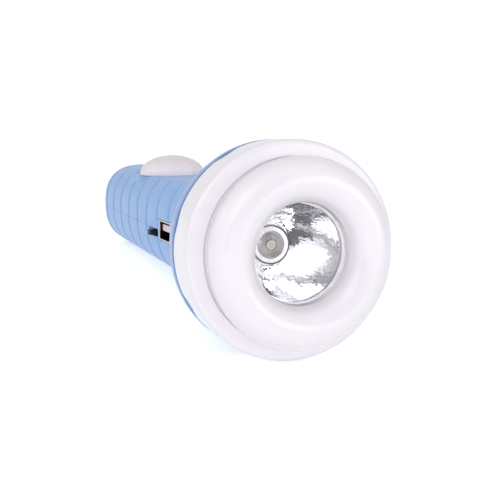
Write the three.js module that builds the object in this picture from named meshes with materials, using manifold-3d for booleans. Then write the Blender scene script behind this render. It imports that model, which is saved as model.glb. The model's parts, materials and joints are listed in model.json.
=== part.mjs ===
// A small LED flashlight, lying on its collar and the underside of its tail.
// In the torch's own frame Y runs back from the bezel's front face, Z is up and X is across.
// Lengths are in millimetres.
import * as THREE from "three";
import { mergeVertices } from "three/addons/utils/BufferGeometryUtils.js";
import Module from "manifold-3d";

const wasm = await Module();
wasm.setup();

const { lerp, clamp, degToRad } = THREE.MathUtils;

// Driving dimensions

const clearance = 0.3; // gap between pieces that seat on each other
const overrun = 2; // how far a cut reaches past the surface that it opens

const head = {
  radius: 25, // outside of the bezel and of the collar
  skirtWall: 2.2, // both screw onto or slip over the body's spigot
  segments: 40,
};

const bezel = {
  depth: 10.6, // side wall, front to back
  edgeRound: 1.2,
  wall: 1.5,
  ringRadius: 16.3, // circle that the round front ring is bent along
  ringTubeRadius: 5.05,
  ringLead: 3.8, // how far that circle lies in front of the front face
  ringEndAngle: 45, // where the ring's outside runs into the groove, in degrees
  hollowEndAngle: -150, // where the hollow inside the ring meets the sleeve, in degrees
  grooveRadius: 0.8,
  lipDepth: 2.4, // rear of the lip that holds the lens, ahead of the front face
  sleeveWall: 1.5,
  sleeveReach: 0.9, // the sleeve round the lens ends this far behind the front face
  gripCount: 8,
  gripDepth: 0.25, // depth of a grip flat at the rear edge
  gripLength: 5,
  gripPhase: 30, // angle of the first grip flat, in degrees
};

const lens = { radius: 13.4, thickness: 1.1 };

const seal = { thickness: 0.6, bore: 11 };

const reflector = {
  rimRadius: 10.83,
  neckRadius: 4.3,
  depth: 12.87, // rim to neck
  wall: 1.1,
  flangeThickness: 1,
  neckLength: 2.9,
  bowlSteps: 5,
};

const led = {
  bodyRadius: 4,
  bodyBore: 3.05,
  bodyHeight: 3,
  domeHeight: 1.3,
  domeWall: 0.5,
  slugThickness: 2.2,
  chipRadius: 0.6,
  chipThickness: 0.3,
  boardThickness: 1.6,
  segments: 18,
};

const holder = {
  cupRadius: 14.2,
  cupWall: 1.6,
  flangeThickness: 1.4,
  flangeBack: 5.2, // rear face of its flange, behind the bezel's front face
  floorThickness: 1.5,
  wireHole: 4,
};

const collar = { length: 3.5, rearRound: 1 };

const body = {
  wall: 1.8,
  shoulderDrop: 0.8, // step from the collar down to the bell
  bellLength: 33.3,
  gripStart: 50, // the grip's section is given at its start and its end
  gripEndMargin: 2.4, // from there to the tail's outside
  startHalfWidth: 13.8,
  endHalfWidth: 15.1,
  startTop: 15.3,
  endTop: 16.3,
  startDrop: 15.9,
  endDrop: 13.7,
  squareness: 2.55, // exponent of the grip's rounded section, where 2 is an ellipse
  tailRoom: 14.4, // from the cell's rear end to the tail's outside
  tailRound: 5.5,
  seamStart: -1.6, // height of the seam at the start and the end of the grip
  seamEnd: 0.9,
  bellSteps: 7,
  hollowBellSteps: 4,
  tailSteps: 4,
  hollowTailSteps: 2,
  segments: 32,
  hollowSegments: 24,
};

// The grip's top is flat round the side lamp, with a ramp at each end
const topFlat = {
  height: 13.7,
  frontReach: 48, // from the side lamp's centre to the front ramp's foot
  rearReach: 14,
  ramp: 7, // length of a ramp over its rise
  rampRise: 3,
};

const groove = {
  count: 8,
  first: 57.95,
  pitch: 12.46,
  width: 2.2,
  depth: 0.65,
  fadeStartShare: 0.62, // the grooves fade out between these shares of the section's height
  fadeEndShare: 0.88,
};

const sideLamp = {
  station: 104, // distance of its centre behind the bezel's front face
  padSink: 0.3, // from the flat down to the pad
  padDepth: 2.7,
  padMargin: 1.2,
  lensRadius: 10.8,
  lensWall: 1.3,
  lensSkirt: 0.5,
  lensHeight: 6.6,
  lensSteps: 4,
  trayWall: 0.9,
  trayDepth: 3.4,
  trayLipThickness: 0.5,
  trayMargin: 0.7, // step from the tray's cup to its lip
  wireHole: 1.9,
  wireHoleOffset: 2,
  boardRadius: 5.3,
  boardThickness: 0.8,
  chipCount: 3,
  chipCircle: 3,
  chipSize: 2.6,
  chipHeight: 1.3,
  segments: 28,
};

const socket = {
  station: 62,
  height: -1, // of its centre
  width: 13.2,
  thickness: 5.8,
  shellWall: 0.35,
  depth: 14,
  mouthInset: 0.1,
  tongueWidth: 11.1,
  tongueThickness: 1.84,
  tongueTopGap: 0.9,
  tongueSetback: 1,
  blockDepth: 4,
  contactWidth: 1,
  contactThickness: 0.25,
  contactSetback: 0.8,
  innerContactOffset: 1,
  outerContactOffset: 3.5,
};

const slideSwitch = {
  station: 74.9,
  slotLength: 10.3,
  slotDrop: 2.45, // from the seam to the bottom of the slot
  travel: 2.5, // to each side of the middle position
  knobLength: 3,
  knobHeight: 1.6,
  knobProud: 1.3,
  knobDepth: 6.6,
  knobRound: 0.4,
  wallThickness: 0.8,
  bodyDepth: 4.6,
};

const board = {
  start: 52,
  length: 32,
  halfWidth: 11,
  thickness: 1.2,
  ledgeReach: 2,
  ledgeThickness: 1.6,
  ledgeMargin: 2,
};

// Places of the pieces on the board are taken from its front or its rear edge
const chip = { width: 5, length: 4, height: 1.6, across: 6.5, fromFront: 18.5 };
const inductor = { radius: 2.8, height: 3, across: 6.5, fromFront: 11.5 };
const capacitor = { radius: 2, height: 5, across: -2.5, fromRear: 7.5 };

const cell = {
  radius: 7.1,
  boardGap: 4.5, // from the board's rear edge to the cell
  length: 49.5,
  height: -4.4, // of its axis
  capRadius: 2.7,
  capLength: 0.9,
  edgeRound: 0.6,
  tabWidth: 9,
  tabHeight: 7,
  tabThickness: 0.3,
  segments: 24,
};

// Ribs under the cell stand this far inside its two ends
const cradle = { frontInset: 8.5, rearInset: 9, thickness: 1.6, drop: 2.1 };
// Ribs over the cell: one behind the side lamp, one above the rear cradle
const keeper = { lampDistance: 17, thickness: 1.6, halfWidth: 4 };

const screw = {
  across: 7,
  frontStation: 46,
  rearGap: 6, // from the cell's rear end to the rear pair
  seatHeight: -6,
  headRadius: 2.1,
  headHeight: 1.5,
  shankRadius: 1.15,
  shankLength: 10.3,
  bossRadius: 3.2,
  slotWidth: 0.7,
  slotDepth: 0.7,
  segments: 16,
};

const wire = {
  radius: 0.6,
  sides: 6,
  stepsPerSpan: 3,
  spacing: 1.9, // between the two wires of a pair
  landing: 2.5, // length that lies on the board
  rise: 3.4, // height of the long battery wire above the cell
};

// Sizes and places that follow from the driving dimensions

const skirtBore = head.radius - head.skirtWall;
const spigotRadius = skirtBore - clearance;
const lensBore = lens.radius + clearance;
const lensFront = clearance - bezel.lipDepth;
const sealFront = lensFront + lens.thickness + clearance;
const rimFront = sealFront + seal.thickness + clearance;
const rimBack = rimFront + reflector.flangeThickness;
const neckFront = rimFront + reflector.depth;
const neckBack = neckFront + reflector.neckLength;
const cupBore = holder.cupRadius - holder.cupWall;
const cupFront = rimBack + clearance;
const ledBoardFront = neckBack + clearance;
const ledBoardBack = ledBoardFront + led.boardThickness;
const cupFloor = ledBoardBack + clearance;
const holderBack = cupFloor + holder.floorThickness;
const spigotFront = holder.flangeBack + clearance;
const collarFront = bezel.depth + clearance;
const collarBack = collarFront + collar.length;
const shoulder = collarBack + clearance;
const bellRadius = head.radius - body.shoulderDrop;
const bellEnd = shoulder + body.bellLength;
const outside = head.radius + overrun; // past every surface of the body
const boardTop = socket.height - socket.thickness / 2 - clearance;
const boardBottom = boardTop - board.thickness;
const boardBack = board.start + board.length;
const onBoard = boardTop + clearance;
const wireOnBoard = onBoard + wire.radius;
const padHeight = topFlat.height - sideLamp.padSink;
const lampBase = padHeight + clearance;
const cellStart = boardBack + cell.boardGap;
const cellBack = cellStart + cell.length;
const cellTop = cell.height + cell.radius;
const rearCradle = cellBack - cradle.rearInset;
const tailEnd = cellBack + body.tailRoom;
const gripEnd = tailEnd - body.gripEndMargin;

// Solids

function asSolid(geometry) {
  const bare = geometry.clone();
  bare.deleteAttribute("normal");
  bare.deleteAttribute("uv");
  const merged = mergeVertices(bare);
  const corners = merged.index.array;
  const kept = [];
  for (let i = 0; i < corners.length; i += 3) {
    const [a, b, c] = corners.slice(i, i + 3);
    if (a !== b && b !== c && c !== a) {
      kept.push(a, b, c);
    }
  }
  const vertProperties = new Float32Array(merged.attributes.position.array);
  const triVerts = new Uint32Array(kept);
  return new wasm.Manifold(new wasm.Mesh({ numProp: 3, vertProperties, triVerts }));
}

function asGeometry(solid) {
  const mesh = solid.getMesh();
  const geometry = new THREE.BufferGeometry();
  geometry.setAttribute("position", new THREE.BufferAttribute(new Float32Array(mesh.vertProperties), 3));
  geometry.setIndex(new THREE.BufferAttribute(new Uint32Array(mesh.triVerts), 1));
  geometry.computeVertexNormals();
  return geometry;
}

function joined(solids) {
  return solids.reduce((whole, piece) => whole.add(piece));
}

// A box between two opposite corners
function block(low, high) {
  const size = low.map((value, axis) => high[axis] - value);
  const middle = low.map((value, axis) => (high[axis] + value) / 2);
  return asSolid(new THREE.BoxGeometry(...size).translate(...middle));
}

// A closed form about Y from an outline of [radius, y] points, with a flat facet at the bottom
function turning(outline, segments) {
  let area = 0;
  outline.forEach(([radius, y], i) => {
    const [nextRadius, nextY] = outline[(i + 1) % outline.length];
    area += radius * nextY - nextRadius * y;
  });
  const ordered = area > 0 ? outline : [...outline].reverse();
  const points = ordered.map(([radius, y]) => new THREE.Vector2(radius, y));
  if (outline[0][0] > 0) {
    points.push(points[0].clone());
  }
  return new THREE.LatheGeometry(points, segments, Math.PI / segments);
}

function turned(outline, segments) {
  return asSolid(turning(outline, segments));
}

// The same stood upright at [x, y]: the second number of each point is then a height
function stood(outline, [x, y], segments) {
  return asSolid(turning(outline, segments).rotateX(Math.PI / 2).translate(x, y, 0));
}

function disc(radius, from, to) {
  return [[0, from], [radius, from], [radius, to], [0, to]];
}

function ring(bore, radius, from, to) {
  return [[bore, from], [radius, from], [radius, to], [bore, to]];
}

// Points on an arc, with angles in degrees from the outward radius towards the tail
function arc([centreRadius, centreY], radius, from, to, steps) {
  const points = [];
  for (let i = 0; i <= steps; i += 1) {
    const angle = degToRad(lerp(from, to, i / steps));
    points.push([centreRadius + radius * Math.cos(angle), centreY + radius * Math.sin(angle)]);
  }
  return points;
}

// A quarter ellipse from its foot to its tip on the axis; a negative height points forward
function domeLine(radius, height, foot, steps) {
  const points = [];
  for (let i = 0; i <= steps; i += 1) {
    const angle = (Math.PI / 2) * (i / steps);
    const across = i === steps ? 0 : radius * Math.cos(angle);
    points.push([across, foot + height * Math.sin(angle)]);
  }
  return points;
}

const torch = new THREE.Group();

function addPart(name, solid, look) {
  const clearLook = look.opacity !== undefined;
  const material = new THREE.MeshStandardMaterial({ ...look, transparent: clearLook });
  const mesh = new THREE.Mesh(asGeometry(solid), material);
  mesh.name = name;
  torch.add(mesh);
}

// Materials

const whitePlastic = { color: "#f1edf2", roughness: 0.25, metalness: 0 };
const bluePlastic = { color: "#97bce6", roughness: 0.35, metalness: 0 };
const blackPlastic = { color: "#15181c", roughness: 0.4, metalness: 0 };
const paleRubber = { color: "#e2dfe3", roughness: 0.6, metalness: 0 };
const clearPlastic = { color: "#eef2f6", roughness: 0.08, metalness: 0, opacity: 0.3 };
const mirrorCoat = { color: "#dcdce0", roughness: 0.12, metalness: 1 };
const steel = { color: "#b9bcc0", roughness: 0.3, metalness: 1 };
const gold = { color: "#cfae62", roughness: 0.3, metalness: 1 };
const boardGreen = { color: "#2f6a45", roughness: 0.5, metalness: 0 };
const phosphor = { color: "#d8cf6a", roughness: 0.6, metalness: 0 };
const cellSleeve = { color: "#d9dde2", roughness: 0.4, metalness: 0 };
const redPlastic = { color: "#b3342e", roughness: 0.5, metalness: 0 };

// Bezel

function bezelSolid() {
  const centre = [bezel.ringRadius, -bezel.ringLead];
  const tube = bezel.ringTubeRadius;
  const endAngle = degToRad(bezel.ringEndAngle);
  const reach = tube + bezel.grooveRadius;
  const grooveCentre = [
    centre[0] + reach * Math.cos(endAngle),
    centre[1] + reach * Math.sin(endAngle),
  ];
  const faceInside = grooveCentre[1] + bezel.grooveRadius + bezel.wall;
  const roundCentre = [head.radius - bezel.edgeRound, bezel.edgeRound];
  const sleeveRadius = lensBore + bezel.sleeveWall;
  const bore = bezel.ringRadius - tube;
  const outline = [
    [bore, -bezel.lipDepth],
    ...arc(centre, tube, -180, bezel.ringEndAngle, 12),
    ...arc(grooveCentre, bezel.grooveRadius, 180 + bezel.ringEndAngle, 0, 4).slice(1),
    [grooveCentre[0] + bezel.grooveRadius, 0],
    ...arc(roundCentre, bezel.edgeRound, -90, 0, 3),
    [head.radius, bezel.depth],
    [skirtBore, bezel.depth],
    [skirtBore, faceInside],
    [grooveCentre[0] - bezel.grooveRadius - bezel.wall, faceInside],
    ...arc(centre, tube - bezel.wall, bezel.ringEndAngle, bezel.hollowEndAngle, 4),
    [sleeveRadius, -bezel.ringLead],
    [sleeveRadius, bezel.sleeveReach],
    [lensBore, bezel.sleeveReach],
    [lensBore, -bezel.lipDepth],
  ];
  let solid = turned(outline, head.segments);
  for (let i = 0; i < bezel.gripCount; i += 1) {
    solid = solid.subtract(gripFlat(i));
  }
  return solid;
}

// A shallow flat that starts part way along the side wall and is deepest at the rear edge
function gripFlat(index) {
  const lean = Math.atan2(bezel.gripDepth, bezel.gripLength);
  const angle = degToRad(bezel.gripPhase + (360 / bezel.gripCount) * index);
  const reach = bezel.gripLength + overrun;
  const cutter = new THREE.BoxGeometry(head.radius, reach, overrun);
  cutter.translate(0, reach / 2, overrun / 2);
  cutter.rotateX(-lean);
  cutter.translate(0, bezel.depth - bezel.gripLength, head.radius * Math.cos(Math.PI / head.segments));
  cutter.rotateY(Math.PI / 2 - angle);
  return asSolid(cutter);
}

// Lens, seal, reflector and their holder

function reflectorSolid() {
  const { rimRadius, neckRadius, depth, wall, bowlSteps } = reflector;
  const bowl = [];
  for (let i = 0; i <= bowlSteps; i += 1) {
    const radius = lerp(rimRadius, neckRadius, i / bowlSteps);
    const fall = (rimRadius ** 2 - radius ** 2) / (rimRadius ** 2 - neckRadius ** 2);
    bowl.push([radius, rimFront + depth * fall]);
  }
  const bowlBack = bowl
    .map(([radius, y]) => [radius + wall, y])
    .filter(([, y]) => y > rimBack)
    .reverse();
  return turned([
    ...bowl,
    [neckRadius, neckBack],
    [neckRadius + wall, neckBack],
    ...bowlBack,
    [rimRadius + wall, rimBack],
    [lens.radius, rimBack],
    [lens.radius, rimFront],
  ], head.segments);
}

function holderSolid() {
  const flangeFront = holder.flangeBack - holder.flangeThickness;
  return turned([
    [cupBore, cupFront],
    [holder.cupRadius, cupFront],
    [holder.cupRadius, flangeFront],
    [spigotRadius, flangeFront],
    [spigotRadius, holder.flangeBack],
    [holder.cupRadius, holder.flangeBack],
    [holder.cupRadius, holderBack],
    [holder.wireHole, holderBack],
    [holder.wireHole, cupFloor],
    [cupBore, cupFloor],
  ], head.segments);
}

function collarSolid() {
  const roundCentre = [head.radius - collar.rearRound, collarBack - collar.rearRound];
  return turned([
    [skirtBore, collarFront],
    [head.radius, collarFront],
    ...arc(roundCentre, collar.rearRound, 0, 90, 3),
    [skirtBore, collarBack],
  ], head.segments);
}

function addHead() {
  const lensBack = lensFront + lens.thickness;
  const sealBack = sealFront + seal.thickness;
  addPart("bezel_ring", bezelSolid(), whitePlastic);
  addPart("front_lens", turned(disc(lens.radius, lensFront, lensBack), head.segments), clearPlastic);
  addPart("lens_seal", turned(ring(seal.bore, lens.radius, sealFront, sealBack), head.segments), paleRubber);
  addPart("reflector", reflectorSolid(), mirrorCoat);
  addPart("reflector_holder", holderSolid(), whitePlastic);
  addPart("head_collar", collarSolid(), bluePlastic);
}

// Main LED: a white body round a metal slug, the yellow chip and a clear dome

function addMainLed() {
  const bodyBack = ledBoardFront - clearance;
  const innerRadius = led.bodyBore - clearance;
  const slugFront = bodyBack - led.slugThickness;
  const domeFoot = slugFront - clearance;
  const chipBack = slugFront - clearance;
  const domeInside = domeLine(innerRadius - led.domeWall, led.domeWall - led.domeHeight, domeFoot, 4);
  const domeOutside = domeLine(innerRadius, -led.domeHeight, domeFoot, 4);
  const ledRing = ring(led.bodyBore, led.bodyRadius, bodyBack - led.bodyHeight, bodyBack);
  const chipDisc = disc(led.chipRadius, chipBack - led.chipThickness, chipBack);
  addPart("led_body", turned(ledRing, led.segments), whitePlastic);
  addPart("led_slug", turned(disc(innerRadius, slugFront, bodyBack), led.segments), steel);
  addPart("led_chip", turned(chipDisc, led.segments), phosphor);
  addPart("led_dome", turned([...domeInside.reverse(), ...domeOutside], led.segments), clearPlastic);
  const ledBoard = disc(cupBore - clearance, ledBoardFront, ledBoardBack);
  addPart("led_board", turned(ledBoard, led.segments), boardGreen);
}

// Body: one rounded form, hollowed and cut along the seam

function smooth(share) {
  const limited = clamp(share, 0, 1);
  return limited * limited * (3 - 2 * limited);
}

// The body's section at a station: a circle at the bell that turns into the grip's rounded form
function bodySection(y) {
  const along = (y - body.gripStart) / (gripEnd - body.gripStart);
  const bell = smooth((y - shoulder) / body.bellLength);
  return {
    halfWidth: lerp(bellRadius, lerp(body.startHalfWidth, body.endHalfWidth, along), bell),
    top: lerp(bellRadius, lerp(body.startTop, body.endTop, along), bell),
    bottom: -lerp(bellRadius, lerp(body.startDrop, body.endDrop, along), bell),
    squareness: lerp(2, body.squareness, bell),
  };
}

function innerHalfWidth(y) {
  return bodySection(y).halfWidth - body.wall;
}

function seamHeight(y) {
  return lerp(body.seamStart, body.seamEnd, (y - body.gripStart) / (gripEnd - body.gripStart));
}

// Depth of the nearest groove at a station, before it fades towards the top
function grooveDepth(y) {
  const index = clamp(Math.round((y - groove.first) / groove.pitch), 0, groove.count - 1);
  const offset = Math.abs(y - groove.first - groove.pitch * index);
  return groove.depth * Math.max(0, 1 - offset / (groove.width / 2));
}

function grooveShare(heightShare) {
  const { fadeStartShare, fadeEndShare } = groove;
  return 1 - smooth((heightShare - fadeStartShare) / (fadeEndShare - fadeStartShare));
}

// A closed form through rows of { y, inset }: a unit turning whose vertices move out to the sections
function bodyForm(rows, segments, grooved) {
  const points = rows.map((row, i) => new THREE.Vector2(1, i));
  points.unshift(new THREE.Vector2(0, 0));
  points.push(new THREE.Vector2(0, rows.length - 1));
  const form = new THREE.LatheGeometry(points, segments, Math.PI / segments);
  const position = form.attributes.position;
  for (let i = 0; i < position.count; i += 1) {
    const row = rows[Math.round(position.getY(i))];
    const across = position.getX(i);
    const up = position.getZ(i);
    const section = bodySection(row.y);
    const inset = row.inset + (grooved ? grooveDepth(row.y) * grooveShare(up) : 0);
    const power = 2 / section.squareness;
    const middle = (section.top + section.bottom) / 2;
    const halfHeight = (section.top - section.bottom) / 2 - inset;
    const halfWidth = section.halfWidth - inset;
    position.setXYZ(
      i,
      halfWidth * Math.sign(across) * Math.abs(across) ** power,
      row.y,
      middle + halfHeight * Math.sign(up) * Math.abs(up) ** power,
    );
  }
  return asSolid(form);
}

function bellRows(start, inset, steps) {
  const rows = [];
  for (let i = 0; i <= steps; i += 1) {
    rows.push({ y: lerp(start, bellEnd, i / steps), inset });
  }
  return rows;
}

function grooveRows() {
  const rows = [];
  for (let i = 0; i < groove.count; i += 1) {
    const centre = groove.first + groove.pitch * i;
    rows.push({ y: centre - groove.width / 2, inset: 0 });
    rows.push({ y: centre, inset: 0 });
    rows.push({ y: centre + groove.width / 2, inset: 0 });
  }
  return rows;
}

function tailRows(inset, steps) {
  const round = body.tailRound - inset;
  const rows = [];
  for (let i = 0; i <= steps; i += 1) {
    const angle = (Math.PI / 2) * (i / steps);
    rows.push({
      y: tailEnd - inset - round + round * Math.sin(angle),
      inset: inset + round * (1 - Math.cos(angle)),
    });
  }
  return rows;
}

// What the flat on top takes off a form that is drawn in by an inset
function topCut(inset) {
  const { height, frontReach, rearReach, ramp, rampRise } = topFlat;
  const foot = height - inset;
  const front = sideLamp.station - frontReach - inset;
  const rear = sideLamp.station + rearReach + inset;
  const rise = outside - foot;
  const run = (rise * ramp) / rampRise;
  const shape = new THREE.Shape();
  shape.moveTo(front, foot);
  shape.lineTo(rear, foot);
  shape.lineTo(rear + run, foot + rise);
  shape.lineTo(front - run, foot + rise);
  shape.closePath();
  const cutter = new THREE.ExtrudeGeometry(shape, { depth: 2 * outside, bevelEnabled: false });
  // The shape's first axis is turned to run along Y and its second upright
  cutter.translate(0, 0, -outside);
  cutter.rotateX(Math.PI / 2);
  cutter.rotateZ(Math.PI / 2);
  return asSolid(cutter);
}

// The body's form drawn in by an inset, without its grooves
function insetForm(inset) {
  return bodyForm([
    ...bellRows(shoulder + inset, inset, body.hollowBellSteps),
    ...tailRows(inset, body.hollowTailSteps),
  ], body.hollowSegments, false).subtract(topCut(inset));
}

// Everything above the seam for side 1, or below it for side -1
function seamSide(side) {
  const slope = (body.seamEnd - body.seamStart) / (gripEnd - body.gripStart);
  const reach = 2 * tailEnd;
  const half = new THREE.BoxGeometry(reach, reach, reach);
  half.translate(0, 0, side * (reach / 2 + clearance / 2));
  half.rotateX(Math.atan(slope));
  half.translate(0, body.gripStart, body.seamStart);
  return asSolid(half);
}

// Places of the four screws
function screwPlaces() {
  const places = [];
  for (const y of [screw.frontStation, cellBack + screw.rearGap]) {
    for (const side of [-1, 1]) {
      places.push([side * screw.across, y]);
    }
  }
  return places;
}

// Ledges, posts and ribs that stand on the inside of the body's wall
function bodyFittings() {
  const fittings = [];
  const ledgeTop = boardBottom - clearance;
  const ledgeInside = board.halfWidth - board.ledgeReach;
  for (const side of [-1, 1]) {
    const edges = [side * ledgeInside, side * outside].sort((a, b) => a - b);
    fittings.push(block(
      [edges[0], board.start + board.ledgeMargin, ledgeTop - board.ledgeThickness],
      [edges[1], boardBack - board.ledgeMargin, ledgeTop],
    ));
  }
  for (const place of screwPlaces()) {
    fittings.push(stood(disc(screw.bossRadius, -outside, outside), place, screw.segments));
  }
  const cellRoom = asSolid(
    turning(disc(cell.radius + clearance, 0, tailEnd), cell.segments).translate(0, 0, cell.height),
  );
  for (const y of [cellStart + cradle.frontInset, rearCradle]) {
    const rib = block(
      [-outside, y - cradle.thickness / 2, -outside],
      [outside, y + cradle.thickness / 2, cell.height - cradle.drop],
    );
    fittings.push(rib.subtract(cellRoom));
  }
  for (const y of [sideLamp.station + keeper.lampDistance, rearCradle]) {
    const rib = block(
      [-keeper.halfWidth, y - keeper.thickness / 2, cell.height],
      [keeper.halfWidth, y + keeper.thickness / 2, outside],
    );
    fittings.push(rib.subtract(cellRoom));
  }
  return joined(fittings).intersect(insetForm(body.wall / 2));
}

// Every opening that is cut through the body's wall and its fittings
function bodyCuts() {
  const { station, lensRadius, padDepth } = sideLamp;
  const lampPlace = [0, station];
  const trayHole = trayRadius() + clearance;
  const socketHalfWidth = socket.width / 2 + clearance;
  const socketHalfHeight = socket.thickness / 2 + clearance;
  const cuts = [
    stood(disc(lensRadius + clearance, padHeight, outside), lampPlace, sideLamp.segments),
    stood(disc(trayHole, padHeight - padDepth - overrun, outside), lampPlace, sideLamp.segments),
    block(
      [-outside, socket.station - socketHalfWidth, socket.height - socketHalfHeight],
      [-innerHalfWidth(socket.station) + overrun, socket.station + socketHalfWidth,
        socket.height + socketHalfHeight],
    ),
  ];
  const shankTop = screw.seatHeight + screw.shankLength + clearance;
  for (const place of screwPlaces()) {
    const headRoom = disc(screw.headRadius + clearance, -outside, screw.seatHeight);
    const shankRoom = disc(screw.shankRadius + clearance, -outside, shankTop);
    cuts.push(stood(headRoom, place, screw.segments));
    cuts.push(stood(shankRoom, place, screw.segments));
  }
  return joined(cuts);
}

function addBody() {
  const form = bodyForm([
    ...bellRows(shoulder, 0, body.bellSteps),
    ...grooveRows(),
    ...tailRows(0, body.tailSteps),
  ], body.segments, true);
  const spigotBack = shoulder + body.wall;
  const spigotBore = disc(spigotRadius - body.wall, spigotFront - overrun, spigotBack + overrun);
  const padRadius = sideLamp.lensRadius + sideLamp.padMargin;
  const lampPad = disc(padRadius, padHeight - sideLamp.padDepth, padHeight);
  const casing = form
    .subtract(topCut(0))
    .add(turned(disc(spigotRadius, spigotFront, spigotBack), head.segments))
    .subtract(insetForm(body.wall))
    .subtract(turned(spigotBore, head.segments))
    .add(stood(lampPad, [0, sideLamp.station], sideLamp.segments))
    .add(bodyFittings())
    .subtract(bodyCuts());
  addPart("upper_shell", casing.intersect(seamSide(1)), bluePlastic);
  addPart("lower_shell", casing.intersect(seamSide(-1)).subtract(switchSlot()), bluePlastic);
}

// Side lamp

function trayRadius() {
  return sideLamp.lensRadius - sideLamp.lensWall - clearance - sideLamp.trayMargin;
}

function traySolid() {
  const radius = trayRadius();
  const { trayWall, trayDepth, trayMargin, trayLipThickness, station } = sideLamp;
  const cupBottom = lampBase - trayDepth;
  const outline = [
    [0, cupBottom],
    [radius, cupBottom],
    [radius, lampBase],
    [radius + trayMargin, lampBase],
    [radius + trayMargin, lampBase + trayLipThickness],
    [radius - trayWall, lampBase + trayLipThickness],
    [radius - trayWall, cupBottom + trayWall],
    [0, cupBottom + trayWall],
  ];
  const wireHole = disc(sideLamp.wireHole, cupBottom - overrun, cupBottom + overrun);
  return stood(outline, [0, station], sideLamp.segments)
    .subtract(stood(wireHole, [0, station - sideLamp.wireHoleOffset], screw.segments));
}

function addSideLamp() {
  const { lensRadius, lensWall, lensSkirt, lensHeight, lensSteps, station, segments } = sideLamp;
  const place = [0, station];
  const foot = lampBase + lensSkirt;
  const rise = lensHeight - lensSkirt;
  const outline = [
    ...domeLine(lensRadius - lensWall, rise - lensWall, foot, lensSteps).reverse(),
    [lensRadius - lensWall, lampBase],
    [lensRadius, lampBase],
    ...domeLine(lensRadius, rise, foot, lensSteps),
  ];
  const boardBase = lampBase - sideLamp.trayDepth + sideLamp.trayWall + clearance;
  const chipBase = boardBase + sideLamp.boardThickness + clearance;
  const lampBoard = disc(sideLamp.boardRadius, boardBase, boardBase + sideLamp.boardThickness);
  addPart("lamp_dome", stood(outline, place, segments), clearPlastic);
  addPart("lamp_tray", traySolid(), whitePlastic);
  addPart("lamp_board", stood(lampBoard, place, led.segments), boardGreen);
  for (let i = 0; i < sideLamp.chipCount; i += 1) {
    const angle = ((i + 0.5) / sideLamp.chipCount) * 2 * Math.PI;
    const x = sideLamp.chipCircle * Math.sin(angle);
    const y = station + sideLamp.chipCircle * Math.cos(angle);
    const half = sideLamp.chipSize / 2;
    const low = [x - half, y - half, chipBase];
    const high = [x + half, y + half, chipBase + sideLamp.chipHeight];
    addPart(`lamp_led_${i + 1}`, block(low, high), phosphor);
  }
}

// Slide switch

const slotBottom = seamHeight(slideSwitch.station) - slideSwitch.slotDrop;
const knobBottom = slotBottom + clearance;
const knobTop = knobBottom + slideSwitch.knobHeight;
const knobFace = -bodySection(slideSwitch.station).halfWidth - slideSwitch.knobProud;
const switchFace = -innerHalfWidth(slideSwitch.station) + 2 * clearance;

function switchSlot() {
  const { station, slotLength } = slideSwitch;
  return block(
    [-outside, station - slotLength / 2, slotBottom],
    [switchFace, station + slotLength / 2, outside],
  );
}

// The knob's outline across its length, with rounded outer edges, pushed up through its height
function knobSolid() {
  const { station, knobLength, knobHeight, knobDepth, knobRound } = slideSwitch;
  const halfLength = knobLength / 2;
  const shape = new THREE.Shape();
  shape.moveTo(knobDepth, -halfLength);
  shape.lineTo(knobDepth, halfLength);
  shape.lineTo(knobRound, halfLength);
  shape.quadraticCurveTo(0, halfLength, 0, halfLength - knobRound);
  shape.lineTo(0, knobRound - halfLength);
  shape.quadraticCurveTo(0, -halfLength, knobRound, -halfLength);
  const geometry = new THREE.ExtrudeGeometry(shape, {
    depth: knobHeight,
    bevelEnabled: false,
    curveSegments: 3,
  });
  return asSolid(geometry.translate(knobFace, station, knobBottom));
}

function switchBodySolid() {
  const { station, travel, knobLength, wallThickness, bodyDepth } = slideSwitch;
  const room = knobLength / 2 + travel + clearance;
  const shell = block(
    [switchFace, station - room - wallThickness, onBoard],
    [switchFace + bodyDepth, station + room + wallThickness, knobTop + 2 * clearance],
  );
  const space = block(
    [switchFace - overrun, station - room, knobBottom - clearance],
    [switchFace + bodyDepth - wallThickness, station + room, knobTop + clearance],
  );
  return shell.subtract(space);
}

function addSwitch() {
  addPart("switch_knob", knobSolid(), blackPlastic);
  addPart("switch_body", switchBodySolid(), blackPlastic);
}

// Charging socket

function addSocket() {
  const { station, height, width, thickness, shellWall, depth, blockDepth } = socket;
  const mouth = -bodySection(station).halfWidth + socket.mouthInset;
  const back = mouth + depth;
  const innerHalf = width / 2 - shellWall;
  const innerBottom = height - thickness / 2 + shellWall;
  const innerTop = height + thickness / 2 - shellWall;
  const shell = block(
    [mouth, station - width / 2, height - thickness / 2],
    [back, station + width / 2, height + thickness / 2],
  ).subtract(block(
    [mouth - overrun, station - innerHalf, innerBottom],
    [back + overrun, station + innerHalf, innerTop],
  ));
  const tongueTop = innerTop - socket.tongueTopGap;
  const tongueBottom = tongueTop - socket.tongueThickness;
  const insulator = block(
    [back - blockDepth, station - innerHalf + clearance, innerBottom + clearance],
    [back, station + innerHalf - clearance, innerTop - clearance],
  ).add(block(
    [mouth + socket.tongueSetback, station - socket.tongueWidth / 2, tongueBottom],
    [back - blockDepth / 2, station + socket.tongueWidth / 2, tongueTop],
  ));
  addPart("usb_shell", shell, steel);
  addPart("usb_insulator", insulator, whitePlastic);
  const { innerContactOffset, outerContactOffset, contactWidth } = socket;
  const offsets = [-outerContactOffset, -innerContactOffset, innerContactOffset, outerContactOffset];
  const contactTop = tongueBottom - clearance;
  offsets.forEach((offset, i) => {
    const y = station + offset;
    const low = [mouth + socket.tongueSetback + socket.contactSetback, y - contactWidth / 2,
      contactTop - socket.contactThickness];
    const high = [back - blockDepth - clearance, y + contactWidth / 2, contactTop];
    addPart(`usb_contact_${i + 1}`, block(low, high), gold);
  });
}

// Circuit board and what stands on it

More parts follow.
